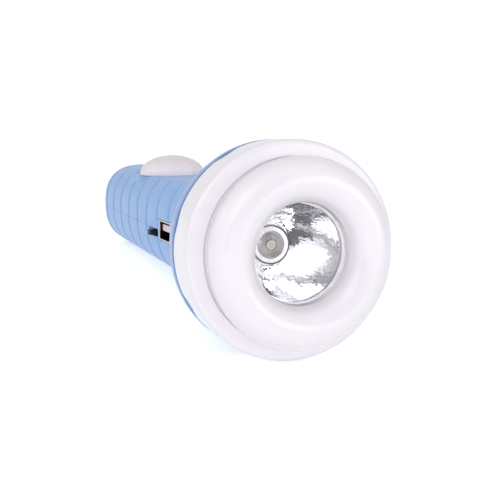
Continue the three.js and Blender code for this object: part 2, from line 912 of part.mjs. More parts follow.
function addBoard() {
  const low = [-board.halfWidth, board.start, boardBottom];
  const high = [board.halfWidth, boardBack, boardTop];
  addPart("main_board", block(low, high), boardGreen);
  const chipMiddle = board.start + chip.fromFront;
  const chipLow = [chip.across - chip.width / 2, chipMiddle - chip.length / 2, onBoard];
  const chipHigh = [chip.across + chip.width / 2, chipMiddle + chip.length / 2, onBoard + chip.height];
  addPart("charge_chip", block(chipLow, chipHigh), blackPlastic);
  const coil = disc(inductor.radius, onBoard, onBoard + inductor.height);
  const can = disc(capacitor.radius, onBoard, onBoard + capacitor.height);
  const coilPlace = [inductor.across, board.start + inductor.fromFront];
  const canPlace = [capacitor.across, boardBack - capacitor.fromRear];
  addPart("board_inductor", stood(coil, coilPlace, led.segments), blackPlastic);
  addPart("board_capacitor", stood(can, canPlace, led.segments), steel);
}

// Battery

function addBattery() {
  const { radius, edgeRound, height, capRadius, capLength, tabThickness } = cell;
  const can = turning([
    [0, cellStart],
    ...arc([radius - edgeRound, cellStart + edgeRound], edgeRound, -90, 0, 1),
    ...arc([radius - edgeRound, cellBack - edgeRound], edgeRound, 0, 90, 1),
    [0, cellBack],
  ], cell.segments);
  const capBack = cellStart - clearance;
  const cap = turning(disc(capRadius, capBack - capLength, capBack), led.segments);
  addPart("battery_cell", asSolid(can.translate(0, 0, height)), cellSleeve);
  addPart("battery_terminal", asSolid(cap.translate(0, 0, height)), steel);
  const frontTab = capBack - capLength - clearance - tabThickness;
  const rearTab = cellBack + clearance;
  const tabs = [["battery_tab_front", frontTab], ["battery_tab_rear", rearTab]];
  for (const [name, y] of tabs) {
    const low = [-cell.tabWidth / 2, y, height - cell.tabHeight / 2];
    const high = [cell.tabWidth / 2, y + tabThickness, height + cell.tabHeight / 2];
    addPart(name, block(low, high), steel);
  }
}

// Screws, driven in from below

function addScrews() {
  const headTop = screw.seatHeight - clearance;
  const headBottom = headTop - screw.headHeight;
  const shankTop = screw.seatHeight + screw.shankLength;
  const outline = [
    [0, headBottom],
    [screw.headRadius, headBottom],
    [screw.headRadius, headTop],
    [screw.shankRadius, headTop],
    [screw.shankRadius, shankTop],
    [0, shankTop],
  ];
  screwPlaces().forEach(([x, y], i) => {
    const slot = block(
      [x - screw.slotWidth / 2, y - outside, headBottom - overrun],
      [x + screw.slotWidth / 2, y + outside, headBottom + screw.slotDepth],
    );
    addPart(`shell_screw_${i + 1}`, stood(outline, [x, y], screw.segments).subtract(slot), steel);
  });
}

// Wires

function wireSolid(places) {
  const section = new THREE.Shape();
  for (let i = 0; i < wire.sides; i += 1) {
    const angle = (2 * Math.PI * i) / wire.sides;
    const corner = [wire.radius * Math.cos(angle), wire.radius * Math.sin(angle)];
    if (i === 0) {
      section.moveTo(...corner);
    } else {
      section.lineTo(...corner);
    }
  }
  const points = places.map((place) => new THREE.Vector3(...place));
  const route = new THREE.CatmullRomCurve3(points, false, "centripetal");
  return asSolid(new THREE.ExtrudeGeometry(section, {
    steps: wire.stepsPerSpan * (places.length - 1),
    bevelEnabled: false,
    extrudePath: route,
  }));
}

// From the LED's board through the holder's floor to the front edge of the main board
function ledWireRoute(side) {
  const x = (side * wire.spacing) / 2;
  const start = ledBoardBack + clearance;
  return [
    [x, start, 0],
    [x, holderBack + wire.landing, 0],
    [x, (holderBack + board.start) / 2, wireOnBoard / 2],
    [x, board.start - wire.landing, wireOnBoard],
    [x, board.start + wire.landing, wireOnBoard],
  ];
}

// From the underside of the side lamp's board down to the rear edge of the main board
function lampWireRoute(side) {
  const x = (side * wire.spacing) / 2;
  const y = sideLamp.station - sideLamp.wireHoleOffset;
  const start = lampBase - sideLamp.trayDepth + sideLamp.trayWall;
  const middle = (start + cellTop) / 2;
  return [
    [x, y, start],
    [x, y, start - sideLamp.trayDepth],
    [x, (y + cellStart) / 2, middle],
    [x, (cellStart + boardBack) / 2, cellTop],
    [x - wire.landing, boardBack - wire.landing, wireOnBoard + wire.radius],
    [x - wire.landing, boardBack - 2 * wire.landing, wireOnBoard],
  ];
}

// From the front tab straight onto the main board
function positiveWireRoute() {
  const start = cellStart - cell.capLength - cell.tabThickness - 3 * clearance;
  const x = cell.tabWidth / 2 - wire.radius;
  return [
    [x, start, wireOnBoard],
    [x, (start + boardBack) / 2, wireOnBoard],
    [x, boardBack - wire.landing, wireOnBoard],
  ];
}

// From the rear tab up over the cell and forward along it to the main board
function negativeWireRoute() {
  const start = cellBack + cell.tabThickness + 2 * clearance;
  const bend = start + wire.spacing;
  const x = keeper.halfWidth + wire.spacing;
  const z = cellTop + wire.rise;
  return [
    [0, start, cell.height + wire.spacing],
    [0, bend, cell.height + wire.rise],
    [x / 2, bend, cellTop + wire.radius],
    [x, cellBack - wire.landing, z],
    [x, (cellBack + cellStart) / 2, z],
    [x, cellStart, z],
    [x + wire.spacing, (cellStart + boardBack) / 2, (wireOnBoard + z) / 2],
    [x + wire.spacing, boardBack - wire.landing, wireOnBoard + wire.radius],
    [x + wire.spacing, boardBack - 2 * wire.landing, wireOnBoard],
  ];
}

function addWires() {
  addPart("led_wire_positive", wireSolid(ledWireRoute(1)), redPlastic);
  addPart("led_wire_negative", wireSolid(ledWireRoute(-1)), blackPlastic);
  addPart("lamp_wire_positive", wireSolid(lampWireRoute(1)), redPlastic);
  addPart("lamp_wire_negative", wireSolid(lampWireRoute(-1)), blackPlastic);
  addPart("battery_wire_positive", wireSolid(positiveWireRoute()), redPlastic);
  addPart("battery_wire_negative", wireSolid(negativeWireRoute()), blackPlastic);
}

addHead();
addMainLed();
addBody();
addSideLamp();
addSwitch();
addSocket();
addBoard();
addBattery();
addScrews();
addWires();

// The torch lies on the collar's rear edge and the tail's underside, so its lens looks slightly up.
// The origin is the middle of the floor that it covers.
const collarContact = collarBack - collar.rearRound;
const tailContact = tailEnd - body.tailRound;
const tailDrop = -bodySection(tailContact).bottom;
torch.rotation.x = -Math.atan2(head.radius - tailDrop, tailContact - collarContact);

const flashlight = new THREE.Group();
flashlight.add(torch);
flashlight.updateMatrixWorld(true);
const bounds = new THREE.Box3().setFromObject(torch, true);
const middle = bounds.getCenter(new THREE.Vector3());
torch.position.set(-middle.x, -middle.y, -bounds.min.z);

export default flashlight;
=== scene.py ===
"""The flashlight's looks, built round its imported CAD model.

Pieces are drawn in the torch's own frame, as the CAD model is: millimetres, Y from the front
face of the bezel back to the tail, Z up and X across. `place` takes them to the shared frame.
"""
import json
import math

import bmesh
import bpy
import numpy as np
from mathutils import Matrix, Vector, noise


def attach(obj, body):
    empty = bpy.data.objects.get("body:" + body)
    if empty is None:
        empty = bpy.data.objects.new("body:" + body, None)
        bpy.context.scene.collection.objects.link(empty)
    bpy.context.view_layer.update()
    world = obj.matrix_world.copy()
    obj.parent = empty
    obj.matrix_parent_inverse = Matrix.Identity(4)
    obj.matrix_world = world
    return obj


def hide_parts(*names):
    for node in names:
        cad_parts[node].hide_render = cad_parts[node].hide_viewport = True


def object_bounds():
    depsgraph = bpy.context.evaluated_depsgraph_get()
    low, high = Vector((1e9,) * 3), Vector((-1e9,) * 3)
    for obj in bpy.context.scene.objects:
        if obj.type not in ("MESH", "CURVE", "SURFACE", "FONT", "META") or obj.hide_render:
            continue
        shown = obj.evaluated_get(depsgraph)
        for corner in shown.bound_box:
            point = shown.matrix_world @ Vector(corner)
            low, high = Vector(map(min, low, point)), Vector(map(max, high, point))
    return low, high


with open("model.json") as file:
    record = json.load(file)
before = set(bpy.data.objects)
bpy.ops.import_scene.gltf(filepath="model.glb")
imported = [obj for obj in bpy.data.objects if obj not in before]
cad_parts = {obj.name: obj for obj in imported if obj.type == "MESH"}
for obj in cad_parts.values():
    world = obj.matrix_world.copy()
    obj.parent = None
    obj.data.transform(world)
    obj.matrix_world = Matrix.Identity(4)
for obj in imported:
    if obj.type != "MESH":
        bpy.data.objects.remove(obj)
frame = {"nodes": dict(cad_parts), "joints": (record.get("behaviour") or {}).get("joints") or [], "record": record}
cad_low, cad_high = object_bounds()
bpy.context.scene.view_settings.view_transform = "Standard"

MM = 0.001
ROUND_STEPS = 4      # on a small rounded edge
TURN_STEPS = 192     # facets round the pieces inside the head
HEAD_STEPS = 256     # round the bezel and the collar
LAMP_STEPS = 160     # round the side lamp
HOLE_STEPS = 96      # round the main LED and the hole under the side lamp
SMALL_STEPS = 48     # round the smallest pieces
SHARP_ANGLE = math.radians(32)
BEVEL_ANGLE = math.radians(40)
STRAIGHT_ANGLE = math.radians(150)
CORNER_SHARE = 0.45  # of an edge, that the rounding of one corner may take
ON_AXIS = 1e-6
MERGE_DISTANCE = 2e-6
CUT_REACH = 40       # past every surface of the body

small_edge = 0.25
seat_gap = 0.3       # between pieces that seat on each other
close_gap = 0.05     # between pieces that are drawn touching
box_trim = 0.02      # keeps the finer round forms inside the CAD model's box

# The torch's own frame, from the joint that runs along its axis

turning_joint = next(joint for joint in frame["joints"] if joint["name"] == "bezel_turn")
front_centre = Vector(turning_joint["pos_m"])
back_way = -Vector(turning_joint["axis"]).normalized()
across_way = Vector((1, 0, 0))
up_way = across_way.cross(back_way)
turned_frame = Matrix((across_way, back_way, up_way)).transposed().to_4x4()
place = Matrix.Translation(front_centre) @ turned_frame @ Matrix.Scale(MM, 4)


def span(node):
    """Lowest and highest corner of a CAD node in the torch's own frame."""
    back = place.inverted()
    points = [back @ vertex.co for vertex in frame["nodes"][node].data.vertices]
    low = Vector(min(point[axis] for point in points) for axis in range(3))
    high = Vector(max(point[axis] for point in points) for axis in range(3))
    return low, high


def seen_from_above(node):
    """Centre (x, y) and half width of a CAD node, from above."""
    low, high = span(node)
    return ((low.x + high.x) / 2, (low.y + high.y) / 2), (high.x - low.x) / 2


def in_scene(name, data):
    """A new object, linked to the scene."""
    thing = bpy.data.objects.new(name, data)
    bpy.context.scene.collection.objects.link(thing)
    return thing


def direction(heading, rise):
    """A unit vector, from degrees round from straight in front of the torch and degrees up."""
    turn = math.radians(heading)
    up = math.radians(rise)
    return Vector((math.sin(turn) * math.cos(up), -math.cos(turn) * math.cos(up), math.sin(up)))


# Camera in the torch's own frame, worked out from the head's circles in the photograph

camera_spot = Vector((-70.5, -161.2, 23.8))
camera_heading = -20.37
camera_rise = 7.54
camera_roll = math.radians(0.42)
focal_pixels = 800.7
picture_pixels = 500
sensor_width = 36


def add_camera():
    data = bpy.data.cameras.new("camera")
    data.sensor_width = sensor_width
    data.lens = focal_pixels / picture_pixels * sensor_width
    camera = in_scene("camera", data)
    look = -direction(camera_heading, camera_rise)
    right = look.cross(Vector((0, 0, 1))).normalized()
    level = Matrix((right, right.cross(look), -look)).transposed().to_4x4()
    in_torch = Matrix.Translation(camera_spot) @ level @ Matrix.Rotation(-camera_roll, 4, "Z")
    spot, turn, _ = (place @ in_torch).decompose()
    camera.location = spot
    camera.rotation_euler = turn.to_euler()
    bpy.context.scene.camera = camera


# Outlines of (radius, y) points

def arc(centre, radius, start, end, steps):
    """Points on an arc, with angles in degrees from the outward radius towards the tail."""
    points = []
    for step in range(steps + 1):
        angle = math.radians(start + (end - start) * step / steps)
        points.append((centre[0] + radius * math.cos(angle), centre[1] + radius * math.sin(angle)))
    return points


def eased(outline, radius):
    """A closed outline with every corner rounded that has room for it, apart from those on the axis."""
    points = []
    count = len(outline)
    for index, here in enumerate(outline):
        corner = Vector(here)
        before = Vector(outline[index - 1]) - corner
        after = Vector(outline[(index + 1) % count]) - corner
        reach = min(radius, before.length * CORNER_SHARE, after.length * CORNER_SHARE)
        on_axis = abs(corner.x) < ON_AXIS
        nearly_straight = before.angle(after) > STRAIGHT_ANGLE
        if on_axis or nearly_straight:
            points.append(tuple(corner))
            continue
        start = corner + before.normalized() * reach
        end = corner + after.normalized() * reach
        for step in range(ROUND_STEPS + 1):
            share = step / ROUND_STEPS
            points.append(tuple(
                start * (1 - share) ** 2 + corner * 2 * share * (1 - share) + end * share ** 2
            ))
    return points


def box_outline(low_radius, high_radius, low_y, high_y):
    return [(low_radius, low_y), (high_radius, low_y), (high_radius, high_y), (low_radius, high_y)]


def dome_line(radius, foot, tip, steps):
    """A quarter ellipse from its foot to its tip on the axis."""
    points = []
    for step in range(steps + 1):
        angle = math.pi / 2 * step / steps
        across = 0.0 if step == steps else math.cos(angle)
        points.append((radius * across, foot + (tip - foot) * math.sin(angle)))
    return points


# Meshes: arrays of points and lists of faces

def grid_faces(rows, columns, offset=0, flip=False, wrap=False):
    """Quads over a grid of points numbered row by row."""
    faces = []
    last = columns if wrap else columns - 1
    for row in range(rows - 1):
        for column in range(last):
            here = offset + row * columns + column
            beside = offset + row * columns + (column + 1) % columns
            face = (here, beside, beside + columns, here + columns)
            faces.append(face[::-1] if flip else face)
    return faces


def turned(outline, segments=TURN_STEPS):
    """A closed outline turned about the torch's axis, as points and faces."""
    ring = np.arange(segments) * 2 * math.pi / segments
    radii, stations = np.array([*outline, outline[0]], float).T[:, :, None]
    grid = np.stack([radii * np.cos(ring), stations + 0 * ring, radii * np.sin(ring)], axis=-1)
    return grid.reshape(-1, 3), grid_faces(len(outline) + 1, segments, wrap=True)


def stood(outline, centre, segments):
    """The same stood upright at (x, y): the second number of each point is then a height."""
    points, faces = turned(outline, segments)
    upright = np.stack([points[:, 0] + centre[0], centre[1] - points[:, 2], points[:, 1]], axis=1)
    return upright, faces


def extruded(outline, low_z, high_z):
    """A closed outline of (x, y) points pushed up from one height to another."""
    count = len(outline)
    points = [(x, y, z) for z in (low_z, high_z) for x, y in outline]
    ends = [tuple(range(count))[::-1], tuple(range(count, 2 * count))]
    return np.array(points, float), ends + grid_faces(2, count, wrap=True)


def block(low, high):
    """A box between two corners."""
    return extruded(box_outline(low[0], high[0], low[1], high[1]), low[2], high[2])


def tidy(mesh):
    """Merges points that coincide, drops what has no area and turns all faces outward."""
    work = bmesh.new()
    work.from_mesh(mesh)
    bmesh.ops.remove_doubles(work, verts=work.verts, dist=MERGE_DISTANCE)
    bmesh.ops.dissolve_degenerate(work, edges=work.edges, dist=MERGE_DISTANCE / 2)
    bmesh.ops.recalc_face_normals(work, faces=work.faces)
    work.to_mesh(mesh)
    work.free()


def raw_object(name, points, faces):
    """An object from points in the torch's own frame."""
    mesh = bpy.data.meshes.new(name)
    placed = [place @ Vector(point) for point in points]
    mesh.from_pydata(placed, [], faces)
    tidy(mesh)
    return in_scene(name, mesh)


def applied(thing):
    """Takes the modifiers of a piece into its mesh."""
    bpy.context.view_layer.update()
    depsgraph = bpy.context.evaluated_depsgraph_get()
    mesh = bpy.data.meshes.new_from_object(thing.evaluated_get(depsgraph))
    thing.modifiers.clear()
    thing.data = mesh
    return thing


def combine(thing, forms, operation):
    """Cuts forms (points and faces) from a piece, or adds them to it."""
    for points, faces in forms:
        tool = raw_object("tool", points, faces)
        step = thing.modifiers.new("step", "BOOLEAN")
        step.operation = operation
        step.solver = "EXACT"
        step.object = tool
        applied(thing)
        bpy.data.objects.remove(tool)


def finish_piece(thing, slot_name, node, look=None, body="torch_body"):
    """Shades a piece, gives it its look, hangs it on its body and hides the CAD node that it stands for."""
    thing.data.shade_smooth()
    thing.data.set_sharp_from_angle(angle=SHARP_ANGLE)
    thing.data.materials.clear()
    thing.data.materials.append(looks[look or slot_name])
    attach(thing, body)
    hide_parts(node)


def add_turned(name, outline, slot_name, node, segments=TURN_STEPS, **others):
    """A finished piece that is round about the torch's axis."""
    finish_piece(raw_object(name, *turned(outline, segments)), slot_name, node, **others)


def bevelled(thing, width, segments=2):
    step = thing.modifiers.new("edges", "BEVEL")
    step.width = width * MM
    step.segments = segments
    step.limit_method = "ANGLE"
    step.angle_limit = BEVEL_ANGLE
    step.use_clamp_overlap = True
    return applied(thing)


# Materials: sizes and depths of their patterns in millimetres

def linear(red, green, blue):
    """A screen colour of 0 to 255 as the linear colour that a shader takes."""
    def one(value):
        share = value / 255
        return share / 12.92 if share <= 0.04045 else ((share + 0.055) / 1.055) ** 2.4
    return (one(red), one(green), one(blue), 1.0)


def darker(colour, share):
    return tuple(channel * share for channel in colour[:3]) + (1.0,)


class Nodes:
    """A node tree whose nodes are added one call at a time."""

    def __init__(self, tree, output_kind):
        self.tree = tree
        tree.nodes.clear()
        self.output = tree.nodes.new(output_kind)

    def add(self, kind, settings=None, **sockets):
        """A node; sockets are its inputs by name, with _ for a space, as numbers or other nodes' outputs."""
        node = self.tree.nodes.new(kind)
        for key, value in (settings or {}).items():
            setattr(node, key, value)
        for key, value in sockets.items():
            self.feed(node.inputs[key.replace("_", " ")], value)
        return node

    def feed(self, socket, value):
        if isinstance(value, bpy.types.NodeSocket):
            self.tree.links.new(value, socket)
        else:
            socket.default_value = value

    def fed(self, node, *values):
        """The node's first output, with its first inputs fed in their order."""
        for socket, value in zip(node.inputs, values):
            self.feed(socket, value)
        return node.outputs[0]

    def largest(self, first, second):
        return self.fed(self.add("ShaderNodeMath", {"operation": "MAXIMUM"}), first, second)

    def spread(self, value, low, high, start=0.0, end=1.0):
        """A value between start and end mapped to one between low and high."""
        return self.fed(self.add("ShaderNodeMapRange"), value, start, end, low, high)

    def blend(self, factor, first, second):
        node = self.add("ShaderNodeMix", {"data_type": "RGBA"})
        self.feed(node.inputs["Factor"], factor)
        self.feed(node.inputs[6], first)
        self.feed(node.inputs[7], second)
        return node.outputs[2]

    def mixed(self, share, first, second):
        return self.fed(self.add("ShaderNodeMixShader"), share, first, second)

    def show(self, shader):
        self.tree.links.new(shader, self.output.inputs["Surface"])


class Look(Nodes):
    """A material, with patterns at real scale in the shared frame."""

    def __init__(self, name):
        self.material = bpy.data.materials.new(name)
        self.material.use_nodes = True
        super().__init__(self.material.node_tree, "ShaderNodeOutputMaterial")
        self.coordinates = self.add("ShaderNodeTexCoord").outputs["Object"]

    def noise(self, size, detail=3.0, stretch=(1, 1, 1)):
        """Smooth noise whose features are about size millimetres wide."""
        vector = self.add("ShaderNodeMapping", Vector=self.coordinates, Scale=stretch).outputs["Vector"]
        node = self.add(
            "ShaderNodeTexNoise", Vector=vector, Scale=1 / (size * MM), Detail=detail, Roughness=0.55,
        )
        return node.outputs["Fac"]

    def painted_inward_shade(self, tone, shallow, deep, painted_shade_colour):
        """Painted shade: a tone that turns into a shade colour between two places across the torch, in
        millimetres.
        """
        across = self.add("ShaderNodeSeparateXYZ", Vector=self.coordinates).outputs["X"]
        return self.blend(self.spread(across, 0, 1, shallow * MM, deep * MM), tone, painted_shade_colour)

    def bump(self, height, depth):
        """A normal that rises and falls by depth millimetres with the height."""
        return self.add("ShaderNodeBump", Height=height, Distance=depth * MM).outputs["Normal"]

    def principled(self, **sockets):
        return self.add("ShaderNodeBsdfPrincipled", **sockets).outputs["BSDF"]

    def finished(self, shader):
        self.show(shader)
        return self.material


def moulded(name, colour, roughness, peel=0.0015, coat=0.0, shade=0.965, painted_shade=None):
    """Injection-moulded plastic: faint flow shading, orange peel and light handling scratches.

    sink holds what Look.sunk takes after the tone: painted shade, for a piece whose hollow darkens inward.
    """
    look = Look(name)
    flow = look.noise(size=16, stretch=(1, 0.5, 1))
    tone = look.blend(look.spread(flow, 0, 1, start=0.35, end=0.65), darker(colour, shade), colour)
    if painted_shade:
        tone = look.painted_inward_shade(tone, *painted_shade)
    scratches = look.noise(size=0.4, detail=2.0, stretch=(1, 0.08, 1))
    rubbed = look.spread(scratches, roughness - 0.03, roughness + 0.05, start=0.35, end=0.75)
    return look.finished(look.principled(
        Base_Color=tone, Roughness=rubbed, Normal=look.bump(look.noise(size=2.4), peel), IOR=1.5,
        Coat_Weight=coat, Coat_Roughness=0.08,
    ))


def rubber(name, colour):
    look = Look(name)
    grain = look.noise(size=0.3)
    tone = look.blend(grain, darker(colour, 0.92), colour)
    return look.finished(look.principled(
        Base_Color=tone, Roughness=look.spread(grain, 0.55, 0.75), Normal=look.bump(grain, depth=0.01),
    ))


def plated(name, colour, roughness, painted_shade=None):
    """Plated sheet metal with fine drawn lines; sink paints shade inward as it does for plastic."""
    look = Look(name)
    lines = look.noise(size=0.15, detail=2.0, stretch=(1, 0.05, 1))
    stain = look.noise(size=3)
    tone = look.blend(look.spread(stain, 0, 1, start=0.4, end=0.7), darker(colour, 0.85), colour)
    if painted_shade:
        tone = look.painted_inward_shade(tone, *painted_shade)
    return look.finished(look.principled(
        Base_Color=tone, Metallic=1.0, Roughness=look.spread(lines, roughness - 0.06, roughness + 0.12),
        Normal=look.bump(lines, depth=0.003),
    ))


def mirror_coat():
    """Vacuum-coated mirror: bright, with fine orange peel under the coat."""
    look = Look("mirror_coat")
    haze = look.noise(size=4)
    tone = look.blend(haze, linear(247, 246, 249), linear(254, 254, 255))
    return look.finished(look.principled(
        Base_Color=tone, Metallic=1.0, Roughness=look.spread(haze, 0.01, 0.04),
        Normal=look.bump(look.noise(size=0.9, detail=1.0), depth=0.012),
    ))


def lets_lamps_by(look, shader, tint):
    """The shader for all but shadow rays, which pass through it tinted."""
    passing = look.add("ShaderNodeBsdfTransparent", Color=tint).outputs[0]
    path = look.add("ShaderNodeLightPath")
    return look.finished(look.mixed(path.outputs["Is Shadow Ray"], shader, passing))


def clear_plastic(name, tint, roughness):
    look = Look(name)
    smears = look.noise(size=6)
    glass = look.principled(
        Base_Color=tint, Roughness=look.spread(smears, roughness * 0.6, roughness * 1.5),
        Transmission_Weight=1.0, IOR=1.46, Normal=look.bump(look.noise(size=3), depth=0.002),
    )
    return lets_lamps_by(look, glass, tint)


def milky_plastic(name, tint, milk_colour, milk_share):
    """Translucent plastic: part of the light goes through, and part is scattered."""
    look = Look(name)
    cloud = look.noise(size=5)
    ripple = look.bump(look.noise(size=1.5), depth=0.003)
    glass = look.principled(
        Base_Color=tint, Roughness=look.spread(cloud, 0.32, 0.4), Transmission_Weight=1.0, IOR=1.3,
        Normal=ripple,
    )
    milk = look.principled(
        Base_Color=look.blend(cloud, linear(247, 236, 242), milk_colour),
        Roughness=look.spread(cloud, 0.2, 0.32), Normal=ripple,
    )
    return lets_lamps_by(look, look.mixed(milk_share, glass, milk), tint)


def solder_mask():
    """Green circuit board with faint tracks under the mask."""
    track_size = 4
    look = Look("circuit_board")
    tracks = look.add(
        "ShaderNodeTexBrick", {"offset": 0.5}, Vector=look.coordinates, Scale=1 / (track_size * MM),
        Mortar_Size=0.06, Color1=linear(40, 96, 62), Color2=linear(36, 88, 56), Mortar=linear(58, 122, 80),
    )
    return look.finished(look.principled(
        Base_Color=tracks.outputs["Color"], Roughness=look.spread(look.noise(size=0.5), 0.3, 0.5),
        Normal=look.bump(tracks.outputs["Fac"], depth=0.03),
    ))


def phosphor():
    look = Look("phosphor")
    grain = look.noise(size=0.12)
    tone = look.blend(grain, linear(208, 202, 118), linear(226, 220, 150))
    return look.finished(look.principled(
        Base_Color=tone, Roughness=0.6, Normal=look.bump(grain, depth=0.01),
    ))


def make_looks():
    """A look for each slot, and a few for pieces that differ from the rest of their slot, two of them darker
    copies that paint shade.
    """
    mouth = span("usb_shell")[0].x
    # Painted shade: the socket's tube and tongue darken towards the inside, where the hollow lies in shade.
    socket_shade_colour = linear(52, 48, 50)
    tube_painted_shade = (mouth + 0.25, mouth + 0.5, socket_shade_colour)
    tongue_painted_shade = (mouth + 5, mouth + 7, socket_shade_colour)
    return {
        "white_gloss_plastic": moulded("white_gloss", linear(246, 242, 248), 0.22, coat=0.3, shade=0.985),
        "white_inner_plastic": moulded("white_inner", linear(240, 240, 240), 0.45),
        "blue_plastic": moulded("blue", linear(132, 178, 233), 0.34, peel=0.002),
        # Painted shade: a darker copy of the blue plastic for the collar, so that the gap beside the bezel reads
        # dark.
        "collar_blue_painted_shade": moulded("collar", linear(112, 152, 208), 0.25, coat=0.4),
        # Painted shade: a grey copy of the LED's white body for its sleeve, so that the mirror shows it dark.
        "led_sleeve_painted_shade": moulded("led_sleeve_painted_shade", linear(150, 141, 154), 0.5),
        "led_metal": plated("led_metal", linear(216, 208, 214), 0.5),
        "black_plastic": moulded("black", linear(7, 11, 18), 0.5),
        "pale_rubber": rubber("rubber", linear(246, 243, 247)),
        "clear_plastic": clear_plastic("clear", linear(253, 253, 254), 0.015),
        "clear_silicone": clear_plastic("silicone", linear(250, 248, 246), 0.05),
        "reflector_coat": mirror_coat(),
        "bare_steel": plated("steel", linear(205, 203, 208), 0.42),
        "socket_steel": plated("socket_steel", linear(238, 232, 214), 0.3, tube_painted_shade),
        "socket_plastic": moulded("socket_plastic", linear(238, 214, 226), 0.4, painted_shade=tongue_painted_shade),
        "contact_gold": plated("gold", linear(214, 184, 110), 0.22),
        "circuit_board": solder_mask(),
        "led_white": moulded("led_white", linear(254, 254, 254), 0.35, shade=0.99),
        "led_phosphor": phosphor(),
        "cell_sleeve": moulded("sleeve", linear(216, 221, 226), 0.3, coat=0.4),
        "red_wire": moulded("red", linear(178, 50, 44), 0.45),
        "black_wire": moulded("dark_wire", linear(24, 24, 26), 0.45),
        "lamp_dome": milky_plastic("lamp_dome", linear(248, 243, 247), linear(251, 249, 252), 0.75),
    }


looks = make_looks()


def dress_cad_nodes():
    """Every CAD node gets the look of its slot; those that a finer piece replaces are hidden later."""
    for part in frame["record"]["subparts"]:
        mesh = frame["nodes"][part["node"]].data
        mesh.materials.clear()
        mesh.materials.append(looks[part["material_slot"]])


# Bezel

ring_radius = 16.3        # circle that the round front ring is bent along
ring_tube = 5.05
ring_inside_end = -150    # where the hollow behind the ring ends, in degrees
groove_angle = 45         # where the ring's outside runs into the groove, in degrees
groove_radius = 0.8
bezel_wall = 1.5
bezel_edge = 1.2
skirt_wall = 2.2
sleeve_back = 0.9
grip_count = 8            # shallow flats round the bezel's wall
grip_depth = 0.25
grip_length = 5
grip_phase = math.radians(30)


def bezel_outline(low, high):
    """From the lip over the lens, round the front ring, over the wall and back along the inside."""
    radius = high.x - box_trim
    depth = high.y
    centre = (ring_radius, low.y + ring_tube)
    angle = math.radians(groove_angle)
    reach = ring_tube + groove_radius
    groove_centre = (centre[0] + reach * math.cos(angle), centre[1] + reach * math.sin(angle))
    face_inside = groove_centre[1] + groove_radius + bezel_wall
    skirt_bore = radius - skirt_wall
    lens_low, lens_high = span("front_lens")
    lens_bore = lens_high.x + seat_gap
    lip_back = lens_low.y - close_gap
    bore = ring_radius - ring_tube
    wall_rows = 12
    wall_step = (depth - bezel_edge) / wall_rows
    return [
        (bore, lip_back - small_edge),
        *arc(centre, ring_tube, -180, groove_angle, steps=64),
        *arc(groove_centre, groove_radius, 180 + groove_angle, 0, steps=16)[1:],
        (groove_centre[0] + groove_radius, 0),
        *arc((radius - bezel_edge, bezel_edge), bezel_edge, -90, 0, steps=8),
        *((radius, bezel_edge + wall_step * row) for row in range(1, wall_rows)),
        *arc((radius - small_edge, depth - small_edge), small_edge, 0, 90, steps=3),
        (skirt_bore + small_edge, depth),
        (skirt_bore, depth - small_edge),
        (skirt_bore, face_inside),
        (groove_centre[0] - groove_radius - bezel_wall, face_inside),
        *arc(centre, ring_tube - bezel_wall, groove_angle, ring_inside_end, steps=12),
        (lens_bore + bezel_wall, centre[1]),
        (lens_bore + bezel_wall, sleeve_back),
        (lens_bore, sleeve_back),
        (lens_bore, lip_back),
        (bore + small_edge, lip_back),
    ]


def add_bezel():
    low, high = span("bezel_ring")
    points, faces = turned(bezel_outline(low, high), HEAD_STEPS)
    radial = np.hypot(points[:, 0], points[:, 2])
    around = np.arctan2(points[:, 2], points[:, 0])
    behind_front = points[:, 1] - (high.y - grip_length)
    on_wall = (behind_front > 0) & (radial > high.x - skirt_wall / 2)
    fall = behind_front * grip_depth / grip_length
    pitch = 2 * math.pi / grip_count
    offset = (around - grip_phase + pitch / 2) % pitch - pitch / 2
    limit = (high.x - fall) / np.cos(offset)
    share = np.where(on_wall, np.minimum(1.0, limit / radial), 1.0)
    points[:, 0] *= share
    points[:, 2] *= share
    thing = raw_object("bezel_shell", points, faces)
    finish_piece(thing, "white_gloss_plastic", "bezel_ring", body="bezel")


# Lens, seal, reflector and its holder

disc_edge = 0.12
seal_bore = 11


def add_lens():
    """The clear front lens and the pale seal behind it."""
    low, high = span("front_lens")
    outline = eased(box_outline(0, high.x, low.y, high.y), disc_edge)
    add_turned("lens_disc", outline, "clear_plastic", "front_lens", body="lens_carrier")
    front = high.y + close_gap
    low, high = span("lens_seal")
    outline = eased(box_outline(seal_bore, high.x, front, high.y), disc_edge)
    add_turned("seal_ring", outline, "pale_rubber", "lens_seal", body="lens_carrier")


rim_radius = 10.83
neck_radius = 4.3
mirror_depth = 12.87
mirror_wall = 1.1
flange_thickness = 1
rim_bead = 0.12
facet_depth = 0.021
facets_round = 18         # steps of the facets' noise for each radian round the bowl
facets_per_mm = 2.8       # and for each millimetre inward
facet_rim_fade = 0.8
facet_neck_fade = 0.5
bowl_rows = 90
bowl_segments = 384
rows_per_back_row = 6     # the bowl's back needs fewer points than the mirror


